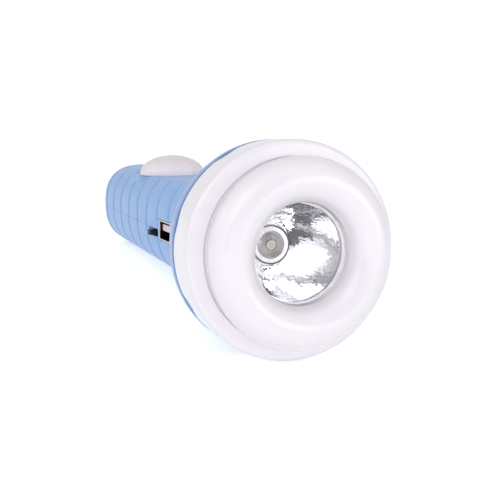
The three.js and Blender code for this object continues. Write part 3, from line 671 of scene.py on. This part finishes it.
def add_reflector():
    """The bowl is a paraboloid, with shallow facets all over the mirror."""
    low, high = span("reflector")
    rim = low.y
    bowl = []
    for row in range(bowl_rows + 1):
        radius = rim_radius + (neck_radius - rim_radius) * row / bowl_rows
        fall = (rim_radius ** 2 - radius ** 2) / (rim_radius ** 2 - neck_radius ** 2)
        bowl.append((radius, rim + mirror_depth * fall))
    flange_back = rim + flange_thickness
    behind = [(radius + mirror_wall, y) for radius, y in bowl[::rows_per_back_row] if y > flange_back]
    outline = [
        *bowl,
        (neck_radius, high.y),
        (neck_radius + mirror_wall, high.y),
        *behind[::-1],
        (rim_radius + mirror_wall, flange_back),
        (high.x, flange_back),
        (high.x, rim),
        (rim_radius + rim_bead, rim),
    ]
    points, faces = turned(outline, bowl_segments)
    for point in points[:len(bowl) * bowl_segments]:
        radial = math.hypot(point[0], point[2])
        across = point[0] / radial
        up = point[2] / radial
        swell = noise.noise(Vector((across * facets_round, up * facets_round, radial * facets_per_mm)))
        fade = min(1.0, (rim_radius - radial) / facet_rim_fade, (radial - neck_radius) / facet_neck_fade)
        point[0] += swell * facet_depth * fade * across
        point[2] += swell * facet_depth * fade * up
    thing = raw_object("reflector_bowl", points, faces)
    finish_piece(thing, "reflector_coat", "reflector")


cup_bore = 12.6
cup_radius = 14.2
holder_flange = (3.8, 5.2)     # front and rear face
wire_hole = 4
holder_floor = 1.5


def add_holder():
    low, high = span("reflector_holder")
    flange_front, flange_rear = holder_flange
    floor_front = high.y - holder_floor
    outline = eased([
        (cup_bore, low.y), (cup_radius, low.y), (cup_radius, flange_front), (high.x, flange_front),
        (high.x, flange_rear), (cup_radius, flange_rear), (cup_radius, high.y), (wire_hole, high.y),
        (wire_hole, floor_front), (cup_bore, floor_front),
    ], small_edge)
    add_turned("holder_cup", outline, "white_inner_plastic", "reflector_holder")


collar_round = 1
collar_edge = 0.12
collar_gap = 0.75          # the dark line between the bezel and the collar


def add_collar():
    low, high = span("head_collar")
    front = span("bezel_ring")[1].y + collar_gap
    bore = high.x - skirt_wall
    outline = [
        (bore, front + small_edge),
        (bore + small_edge, front),
        *arc((high.x - collar_edge, front + collar_edge), collar_edge, -90, 0, steps=3),
        *arc((high.x - collar_round, high.y - collar_round), collar_round, 0, 90, steps=8),
        (bore + small_edge, high.y),
        (bore, high.y - small_edge),
    ]
    # The collar wears the darker copy of the blue: painted shade.
    add_turned("collar_ring", outline, "blue_plastic", "head_collar", HEAD_STEPS, look="collar_blue_painted_shade")


# Main LED

led_bore = 3.05
led_edge = 0.2
led_front = 0.8           # thickness of the white front ring; the sleeve behind it wears painted grey shade
led_dam = 0.3             # width of the cream border round the chip
led_rings = 3


def add_main_led():
    """White ring and a sleeve in painted grey shade, a metal base with rings and a pedestal, the chip, and the
    lens over it.
    """
    low, high = span("led_body")
    parting = low.y + led_front
    ring = eased(box_outline(led_bore, high.x, low.y, parting), led_edge)
    sleeve = box_outline(led_bore, high.x - close_gap, parting + close_gap, high.y)
    add_turned("led_ring", ring, "led_white", "led_body", HOLE_STEPS)
    # The sleeve wears painted grey shade in place of the body's white.
    add_turned("led_sleeve_painted_shade", sleeve, "led_white", "led_body", HOLE_STEPS, look="led_sleeve_painted_shade")
    low, high = span("led_slug")
    chip_low, chip_high = span("led_chip")
    front = low.y
    pedestal = chip_high.y + close_gap
    border = chip_high.x + led_dam
    step = (high.x - border) / (2 * led_rings)
    slug = [(0, pedestal), (border, pedestal), (border, front)]
    for index in range(led_rings):
        foot = border + step * (2 * index + 0.5)
        slug += [(foot, front + step), (foot + step / 2, front + step), (foot + step, front)]
    slug += [(high.x, front), (high.x, high.y), (0, high.y)]
    add_turned("led_base", slug, "bare_steel", "led_slug", HOLE_STEPS, look="led_metal")
    dam = eased(box_outline(chip_high.x + close_gap, border, chip_low.y, chip_high.y), led_edge / 2)
    add_turned("led_chip_border", dam, "led_white", "led_chip", HOLE_STEPS)
    chip = eased(box_outline(0, chip_high.x, chip_low.y, chip_high.y), led_edge / 2)
    add_turned("led_chip_disc", chip, "led_phosphor", "led_chip", HOLE_STEPS)
    tip = span("led_dome")[0].y
    lens_radius = led_bore - close_gap
    lens_back = front - close_gap
    dome = dome_line(lens_radius, (tip + lens_back) / 2, tip, steps=24)
    lens = [(lens_radius, lens_back), *dome, (0, lens_back)]
    add_turned("led_lens", lens, "clear_silicone", "led_dome", HOLE_STEPS)


# Body shells

wall = 1.8
bell_length = 33.3
shoulder_drop = 0.8
shoulder_round = 0.35
handle_start = 50
handle_end = 150
half_widths = (13.8, 15.1)     # each pair is at the handle's start and end
tops = (15.3, 16.3)
drops = (15.9, 13.52)
seam_heights = (-1.6, 0.9)
squareness = 2.55
tail_round = 5.5
seam_gap = 0.04
seam_round = 0.07
groove_count = 8
first_groove = 57.95
groove_pitch = 12.46
groove_half_width = 1.1
groove_shoulder = groove_half_width * 3.2
groove_soft_share = 0.14
groove_depth = 0.65
groove_fade_shares = (0.62, 0.88)
flat_height = 13.7
flat_front_reach = 48      # from the side lamp's centre
flat_rear_reach = 14
flat_slope = 3 / 7
flat_blend = 1.0
thread_pitch = 3
thread_height = 0.22
thread_half_share = 0.3
thread_run_out = 1.2
thread_clearance = 4.4     # from the thread's end to the shoulder
shell_columns = 168

lamp_low, lamp_high = span("lamp_dome")
lamp_centre = (0.0, (lamp_low.y + lamp_high.y) / 2)
lamp_radius = (lamp_high.y - lamp_low.y) / 2
pad_height = lamp_low.z - seat_gap
collar_radius = span("head_collar")[1].x
tail_end = span("upper_shell")[1].y - 2 * box_trim
shoulder = span("head_collar")[1].y + seat_gap
bell_radius = collar_radius - shoulder_drop
spigot_step = bell_radius - (collar_radius - skirt_wall - seat_gap)
spigot_front = span("upper_shell")[0].y


def smooth(share):
    share = np.clip(share, 0, 1)
    return share * share * (3 - 2 * share)


def along_handle(pair, y):
    """A value that runs from the first of a pair to the second along the handle."""
    share = (y - handle_start) / (handle_end - handle_start)
    return pair[0] + (pair[1] - pair[0]) * share


def seam_height(y):
    return along_handle(seam_heights, y)


def section(y):
    """Half width, middle height, half height and squareness of the body's section at a station."""
    bell = smooth((y - shoulder) / bell_length)
    half_width = bell_radius + (along_handle(half_widths, y) - bell_radius) * bell
    top = bell_radius + (along_handle(tops, y) - bell_radius) * bell
    bottom = -bell_radius + (bell_radius - along_handle(drops, y)) * bell
    return half_width, (top + bottom) / 2, (top - bottom) / 2, 2 + (squareness - 2) * bell


def under_flat(y, z, depth):
    """Heights held under the flat top and its ramps, which blend softly into the round sides."""
    front = lamp_centre[1] - flat_front_reach - depth
    rear = lamp_centre[1] + flat_rear_reach + depth
    ramp = np.maximum(0, np.maximum(front - y, y - rear)) * flat_slope
    limit = flat_height - depth + ramp
    share = np.clip(0.5 + (limit - z) / (2 * flat_blend), 0, 1)
    return limit + (z - limit) * share - flat_blend * share * (1 - share) / 2


def groove_inset(y, up):
    """How far the grooves draw the surface in, with a soft shoulder to each side."""
    index = np.clip(np.round((y - first_groove) / groove_pitch), 0, groove_count - 1)
    offset = np.abs(y - first_groove - groove_pitch * index)
    narrow = smooth(1 - offset / groove_half_width)
    wide = smooth(1 - offset / groove_shoulder)
    start, end = groove_fade_shares
    fade = 1 - smooth((up - start) / (end - start))
    return groove_depth * ((1 - groove_soft_share) * narrow + groove_soft_share * wide) * fade


def thread_rise(y, around):
    """A shallow screw thread round the spigot that the bezel is turned on."""
    turn = (y / thread_pitch - around / (2 * math.pi)) % 1
    start = smooth((y - spigot_front - seat_gap) / thread_run_out)
    end = smooth((shoulder - thread_clearance - y) / thread_run_out)
    return thread_height * smooth(1 - np.abs(turn - 0.5) / thread_half_share) * start * end


thread_rows = 40
bell_rows = 48
groove_rows = 28
land_rows = 4             # between two grooves
tail_rows = 14
cap_rows = 10
bell_row_margin = 2.5     # from the shoulder to the bell's first row
tail_row_margin = 0.5     # from the last row to the tail's rounding


def shell_rows():
    """Rows of the shell: station, step inward, whether it faces forward, turn of the tail, shrink."""
    rows = []

    def add_row(station, inward=0, forward=0, turn=0, shrink=1):
        rows.append((station, inward, forward, turn, shrink))

    thread_front = spigot_front + small_edge
    thread_span = shoulder - spigot_front - 2 * small_edge
    add_row(spigot_front, spigot_step + small_edge)
    for step in range(thread_rows):
        add_row(thread_front + thread_span * step / thread_rows, spigot_step)
    round_middle = 0.1     # of the shoulder's rounding, inward and back
    add_row(shoulder, spigot_step, forward=1)
    add_row(shoulder, shoulder_round, forward=1)
    add_row(shoulder + round_middle, round_middle, forward=1)
    add_row(shoulder + shoulder_round, forward=1)
    bell_start = shoulder + bell_row_margin
    bell_span = first_groove - groove_shoulder - bell_start
    for step in range(bell_rows):
        add_row(bell_start + bell_span * step / bell_rows)
    tail_start = tail_end - tail_round
    for index in range(groove_count):
        centre = first_groove + groove_pitch * index
        for step in range(groove_rows):
            add_row(centre + groove_shoulder * (2 * step / groove_rows - 1))
        after = centre + groove_shoulder
        before_next = min(centre + groove_pitch - groove_shoulder, tail_start - tail_row_margin)
        if before_next > after:
            for step in range(land_rows):
                add_row(after + (before_next - after) * step / land_rows)
    for step in range(tail_rows + 1):
        add_row(tail_start, turn=math.pi / 2 * step / tail_rows)
    for step in range(1, cap_rows + 1):
        add_row(tail_start, turn=math.pi / 2, shrink=1 - step / cap_rows)
    return np.array(rows, float)


def shell_layer(rows, side, depth, detailed):
    """Grid of points on the upper (side 1) or lower (side -1) half shell, drawn in by depth.

    The detailed layer has the grooves, the thread and the rounded edge along the seam.
    """
    base, step, forward, turn, shrink = (rows[:, column][:, None] for column in range(5))
    share = (1 - np.cos(np.linspace(0, math.pi, shell_columns))) / 2

    def surface(inset):
        round_left = tail_round - inset
        y = base + forward * inset + round_left * np.sin(turn)
        drawn = step + inset + round_left * (1 - np.cos(turn))
        section_y = np.where(turn > 0, base + tail_round * np.sin(turn), base)
        half_width, middle, half_height, power = section(section_y)
        seam = seam_height(y) + side * seam_gap / 2
        wide = half_width - drawn
        tall = half_height - drawn
        level = (seam - middle) / tall
        start = np.arcsin(np.sign(level) * np.abs(level) ** (power / 2))
        sweep = np.where(side > 0, math.pi - 2 * start, -math.pi - 2 * start)
        angle = start + sweep * share[None, :]
        across = np.cos(angle)
        up = np.sin(angle)
        x = wide * np.sign(across) * np.abs(across) ** (2 / power)
        z = middle + tall * np.sign(up) * np.abs(up) ** (2 / power)
        if side > 0:
            z = under_flat(y, z, inset)
        x = x * shrink
        z = seam + (z - seam) * shrink
        return x, y + 0 * x, z, up

    x, y, z, up = surface(depth)
    if detailed:
        above = np.abs(z - (seam_height(y) + side * seam_gap / 2))
        close = np.clip(1 - above / seam_round, 0, 1)
        edge = seam_round * (1 - np.sqrt(1 - close ** 2)) * (shrink == 1)
        grooves = groove_inset(y, up) * (turn == 0) * (step == 0)
        thread = thread_rise(y, np.arctan2(z, x)) * (step > 0) * (forward == 0)
        x, y, z, _ = surface(edge + grooves - thread)
    return np.stack([x, y, z], axis=-1)


def half_shell(side):
    """A thick half shell: outer and inner layer stitched along the seam and the front."""
    rows = shell_rows()
    outer = shell_layer(rows, side, depth=0.0, detailed=True)
    inner = shell_layer(rows, side, depth=wall, detailed=False)
    count, columns = outer.shape[:2]
    size = count * columns
    points = np.concatenate([outer.reshape(-1, 3), inner.reshape(-1, 3)])
    faces = grid_faces(count, columns) + grid_faces(count, columns, size, flip=True)
    for column, flip in ((0, False), (columns - 1, True)):
        for row in range(count - 1):
            here = row * columns + column
            face = (here, here + columns, here + columns + size, here + size)
            faces.append(face[::-1] if flip else face)
    for column in range(columns - 1):
        faces.append((column, column + size, column + 1 + size, column + 1))
    return points, faces


def flared(low, high, face, flare):
    """A cutter box whose mouth at x = face opens out by a small chamfer."""
    middle_y = (low[1] + high[1]) / 2
    middle_z = (low[2] + high[2]) / 2
    half_y = (high[1] - low[1]) / 2
    half_z = (high[2] - low[2]) / 2
    stations = ((high[0], 0.0), (face + flare, 0.0), (face, flare), (low[0], flare))
    points = []
    for x, grow in stations:
        for turn_y, turn_z in ((-1, -1), (1, -1), (1, 1), (-1, 1)):
            points.append((x, middle_y + turn_y * (half_y + grow), middle_z + turn_z * (half_z + grow)))
    ends = [(0, 1, 2, 3), (15, 14, 13, 12)]
    return np.array(points, float), ends + grid_faces(4, 4, flip=True, wrap=True)


socket_low, socket_high = span("usb_shell")
knob_low, knob_high = span("switch_knob")
knob_travel = 2.5
slot_margin = 1.15
slot_half = knob_travel + (knob_high.y - knob_low.y) / 2 + slot_margin
cut_flare = 0.2
notch_back = 0.3          # from the knob's rear face
notch_width = 0.45
notch_depth = 2.4
notch_height = 1.8
pad_margin = 1.2          # the raised rim of the side lamp's seat
pad_depth = 2.7
pad_round = 0.35
tray_lip = 0.7
screw_seat = -6           # height at which the screws' heads sit
screw_nodes = [f"shell_screw_{index + 1}" for index in range(4)]


def side_face(y):
    """Place of the body's left side at a station."""
    return -float(section(np.array(float(y)))[0])


def socket_cut():
    middle = (socket_low.y + socket_high.y) / 2
    grow = Vector((0, seat_gap, seat_gap)) / 2
    low = socket_low - grow
    high = socket_high + grow
    low.x = -CUT_REACH
    high.x = side_face(middle) + 2 * wall
    return flared(low, high, side_face(middle), cut_flare)


def slot_cut():
    middle = (knob_low.y + knob_high.y) / 2
    low = Vector((-CUT_REACH, middle - slot_half, knob_low.z - seat_gap))
    high = Vector((side_face(middle) + wall + 2 * seat_gap, middle + slot_half, seam_height(middle) + wall))
    return flared(low, high, side_face(middle), cut_flare)


def notch_cut():
    """A small notch in the upper shell's edge, above the rear end of the knob."""
    rear = knob_high.y - notch_back
    foot = seam_height(rear)
    low = (-CUT_REACH, rear - notch_width, foot - wall)
    return block(low, (side_face(rear) + notch_depth, rear, foot + notch_height))


def lamp_cuts():
    tray_hole = span("lamp_tray")[1].x - tray_lip + seat_gap
    recess_radius = lamp_radius + seat_gap
    recess = eased(box_outline(0, recess_radius, pad_height, CUT_REACH), cut_flare)
    hole = box_outline(0, tray_hole, pad_height - pad_depth - wall, CUT_REACH)
    return [stood(recess, lamp_centre, LAMP_STEPS), stood(hole, lamp_centre, HOLE_STEPS)]


def screw_cuts():
    cuts = []
    for node in screw_nodes:
        centre, radius = seen_from_above(node)
        cuts.append(stood(box_outline(0, radius + seat_gap, -CUT_REACH, screw_seat), centre, SMALL_STEPS))
    return cuts


def add_shells():
    pad = eased(box_outline(0, lamp_radius + pad_margin, pad_height - pad_depth, pad_height), pad_round)
    upper = raw_object("upper_shell_skin", *half_shell(1))
    combine(upper, [stood(pad, lamp_centre, LAMP_STEPS)], "UNION")
    combine(upper, [*lamp_cuts(), socket_cut(), notch_cut()], "DIFFERENCE")
    finish_piece(upper, "blue_plastic", "upper_shell")
    lower = raw_object("lower_shell_skin", *half_shell(-1))
    combine(lower, [socket_cut(), slot_cut(), *screw_cuts()], "DIFFERENCE")
    finish_piece(lower, "blue_plastic", "lower_shell")


# Side lamp

lamp_wall = 1.3
lamp_skirt = 0.8
lamp_rows = 32
chip_window = 0.95
chip_bead = 0.12


def add_side_lamp():
    """A milky dome, hollow inside, over three small LEDs."""
    foot = lamp_low.z + lamp_skirt
    inside_radius = lamp_radius - lamp_wall
    outline = [
        *dome_line(lamp_radius, foot, lamp_high.z, lamp_rows),
        *dome_line(inside_radius, foot, lamp_high.z - lamp_wall, lamp_rows)[::-1],
        (inside_radius, lamp_low.z),
        (lamp_radius, lamp_low.z),
    ]
    thing = raw_object("lamp_lens", *stood(outline, lamp_centre, LAMP_STEPS))
    finish_piece(thing, "clear_plastic", "lamp_dome", look="lamp_dome")
    for index in range(3):
        add_lamp_led(f"lamp_led_{index + 1}")


def add_lamp_led(node):
    """A white package with a round window of phosphor."""
    low, high = span(node)
    case_top = high.z - chip_bead
    case = bevelled(raw_object(f"{node}_case", *block(low, (high.x, high.y, case_top))), chip_bead)
    finish_piece(case, "led_white", node)
    bead = eased(box_outline(0, chip_window, case_top - chip_bead, high.z), chip_bead)
    window = raw_object(f"{node}_window", *stood(bead, seen_from_above(node)[0], SMALL_STEPS))
    finish_piece(window, "led_phosphor", node)


# Switch

knob_edge = 0.3
knob_ridges = 3
knob_ridge_depth = 0.15
knob_steps = 36


def add_switch():
    """The knob, with low ridges across the face that a thumb pushes."""
    outline = [(knob_high.x, knob_high.y), (knob_high.x, knob_low.y)]
    for step in range(knob_steps + 1):
        share = step / knob_steps
        ridge = (1 + math.cos(2 * math.pi * knob_ridges * share)) / 2
        x = knob_low.x + knob_ridge_depth * ridge
        outline.append((x, knob_low.y + (knob_high.y - knob_low.y) * share))
    thing = raw_object("slider_knob", *extruded(outline, knob_low.z, knob_high.z))
    bevelled(thing, knob_edge, segments=3)
    finish_piece(thing, "black_plastic", "switch_knob", body="switch_slider")


# Charging socket

tube_wall = 0.35
tube_corner = 0.6
tube_lip = 0.12
tongue_edge = 0.2
contact_edge = 0.08


def rounded_loop(inset):
    """The socket's section, as (y, z) points on a box with round corners."""
    low_y, high_y = socket_low.y + tube_corner, socket_high.y - tube_corner
    low_z, high_z = socket_low.z + tube_corner, socket_high.z - tube_corner
    centres = ((high_y, high_z), (low_y, high_z), (low_y, low_z), (high_y, low_z))
    points = []
    for turn, centre in enumerate(centres):
        points += arc(centre, tube_corner - inset, 90 * turn, 90 * (turn + 1), steps=6)
    return points


def add_socket():
    """A steel tube with a turned lip at its mouth, the tongue in it and the tongue's contacts."""
    mouth = socket_low.x
    back = socket_high.x
    profile = [
        (mouth + tube_lip, 0), (back, 0), (back, tube_wall), (mouth + tube_lip, tube_wall),
        (mouth, tube_wall - tube_lip), (mouth, tube_lip), (mouth + tube_lip, 0),
    ]
    points = [(x, y, z) for x, inset in profile for y, z in rounded_loop(inset)]
    columns = len(points) // len(profile)
    tube = raw_object("usb_tube", np.array(points), grid_faces(len(profile), columns, wrap=True))
    finish_piece(tube, "socket_steel", "usb_shell")
    tongue = in_scene("usb_core", frame["nodes"]["usb_insulator"].data.copy())
    finish_piece(bevelled(tongue, tongue_edge), "socket_plastic", "usb_insulator")
    for index in range(4):
        node = f"usb_contact_{index + 1}"
        spring = bevelled(raw_object(f"{node}_strip", *block(*span(node))), contact_edge)
        finish_piece(spring, "contact_gold", node)


# Screws

screw_dome = 0.5
screw_slot_half = 0.35
screw_slot_depth = 0.7
shank_radius = 1.15
shank_turns = 12
shank_bite = 0.14


def add_screws():
    """Slotted screws with a slightly domed head and a threaded shank, driven in from below."""
    head_top = screw_seat - seat_gap
    for node in screw_nodes:
        low, high = span(node)
        centre, radius = seen_from_above(node)
        pitch = (high.z - head_top) / shank_turns
        shank = []
        for turn in range(shank_turns):
            foot = head_top + pitch * turn
            shank += [(shank_radius - shank_bite, foot + pitch / 4), (shank_radius, foot + pitch * 3 / 4)]
        outline = [
            *dome_line(radius, low.z + screw_dome, low.z, steps=8)[::-1],
            (radius, head_top),
            (shank_radius, head_top),
            *shank,
            (shank_radius / 2, high.z),
            (0, high.z),
        ]
        screw = raw_object(f"{node}_body", *stood(outline, centre, SMALL_STEPS))
        cut = block(
            (centre[0] - screw_slot_half, centre[1] - radius * 2, low.z - radius),
            (centre[0] + screw_slot_half, centre[1] + radius * 2, low.z + screw_slot_depth),
        )
        combine(screw, [cut], "DIFFERENCE")
        finish_piece(screw, "bare_steel", node)


# Stage and light

floor_spread = 3.0     # metres to each side
floor_lift = 0.58      # light added to what the camera sees of the floor, so that it shows white
world_level = 0.51
world_colour = (0.985, 0.98, 1.0, 1)
room_level = linear(252, 250, 254)
dim_level = linear(38, 32, 50)
dim_places = (    # heading and rise in degrees
    (-46, 6), (-40, 21), (-29, 2), (-24, 17), (-13, 31), (-5, 22), (8, 17), (3, 40),
)
dim_core = math.radians(11.5)
dim_reach = math.radians(12.5)
lamp_distance = 0.9    # metres


def add_stage():
    """A floor that keeps the torch's shadow and otherwise shows white."""
    mesh = bpy.data.meshes.new("floor")
    ends = (-floor_spread, floor_spread)
    corners = [Vector((x, y, cad_low.z)) for x in ends for y in ends]
    mesh.from_pydata(corners, [], [(0, 2, 3, 1)])
    floor = in_scene("floor", mesh)
    look = Look("floor")
    grain = look.noise(size=40)
    paper = look.principled(
        Base_Color=look.blend(grain, linear(251, 251, 252), linear(253, 253, 254)), Roughness=0.9,
        Specular_IOR_Level=0.0,
    )
    glow = look.add("ShaderNodeEmission", Color=(1, 1, 1, 1), Strength=floor_lift).outputs[0]
    lit = look.fed(look.add("ShaderNodeAddShader"), paper, glow)
    path = look.add("ShaderNodeLightPath")
    seen = look.largest(path.outputs["Is Camera Ray"], path.outputs["Is Glossy Ray"])
    floor.data.materials.append(look.finished(look.mixed(seen, paper, lit)))


def add_world():
    """An even pale room that shows white, with a dim strip that only metal and gloss show."""
    world = bpy.data.worlds.new("studio")
    bpy.context.scene.world = world
    world.use_nodes = True
    nodes = Nodes(world.node_tree, "ShaderNodeOutputWorld")
    looking = nodes.add("ShaderNodeTexCoord").outputs["Generated"]

    def glow(colour, level):
        return nodes.add("ShaderNodeBackground", Color=colour, Strength=level).outputs[0]

    closest = 0.0
    for heading, rise in dim_places:
        closeness = nodes.add("ShaderNodeVectorMath", {"operation": "DOT_PRODUCT"})
        nodes.fed(closeness, looking, direction(heading, rise))
        closest = nodes.largest(closeness.outputs["Value"], closest)
    dim = nodes.spread(closest, 0, 1, math.cos(dim_reach), math.cos(dim_core))
    room = nodes.blend(dim, room_level, dim_level)
    path = nodes.add("ShaderNodeLightPath")
    bounced = nodes.largest(path.outputs["Is Glossy Ray"], path.outputs["Is Transmission Ray"])
    all_but_camera = nodes.mixed(bounced, glow(world_colour, world_level), glow(room, 1.0))
    nodes.show(nodes.mixed(path.outputs["Is Camera Ray"], all_but_camera, glow((1, 1, 1, 1), 1.0)))


def add_lamp(name, heading, rise, size, power, in_mirrors=True):
    """A soft round lamp that points at the torch from a heading and a rise in degrees."""
    data = bpy.data.lights.new(name, "AREA")
    data.shape = "DISK"
    data.size = size
    data.energy = power
    lamp = in_scene(name, data)
    lamp.visible_glossy = in_mirrors
    way = direction(heading, rise)
    lamp.location = front_centre + way * lamp_distance
    lamp.rotation_euler = way.to_track_quat("Z", "Y").to_euler()


add_camera()
dress_cad_nodes()
add_bezel()
add_lens()
add_reflector()
add_holder()
add_collar()
add_main_led()
add_shells()
add_side_lamp()
add_switch()
add_socket()
add_screws()
add_stage()
add_world()
add_lamp("key", heading=-62, rise=42, size=0.6, power=0.9)
add_lamp("fill", heading=-26, rise=10, size=0.3, power=2.5, in_mirrors=False)
add_lamp("softbox", heading=36, rise=6, size=0.5, power=1.25)
add_lamp("rim", heading=-115, rise=25, size=0.4, power=0.5)
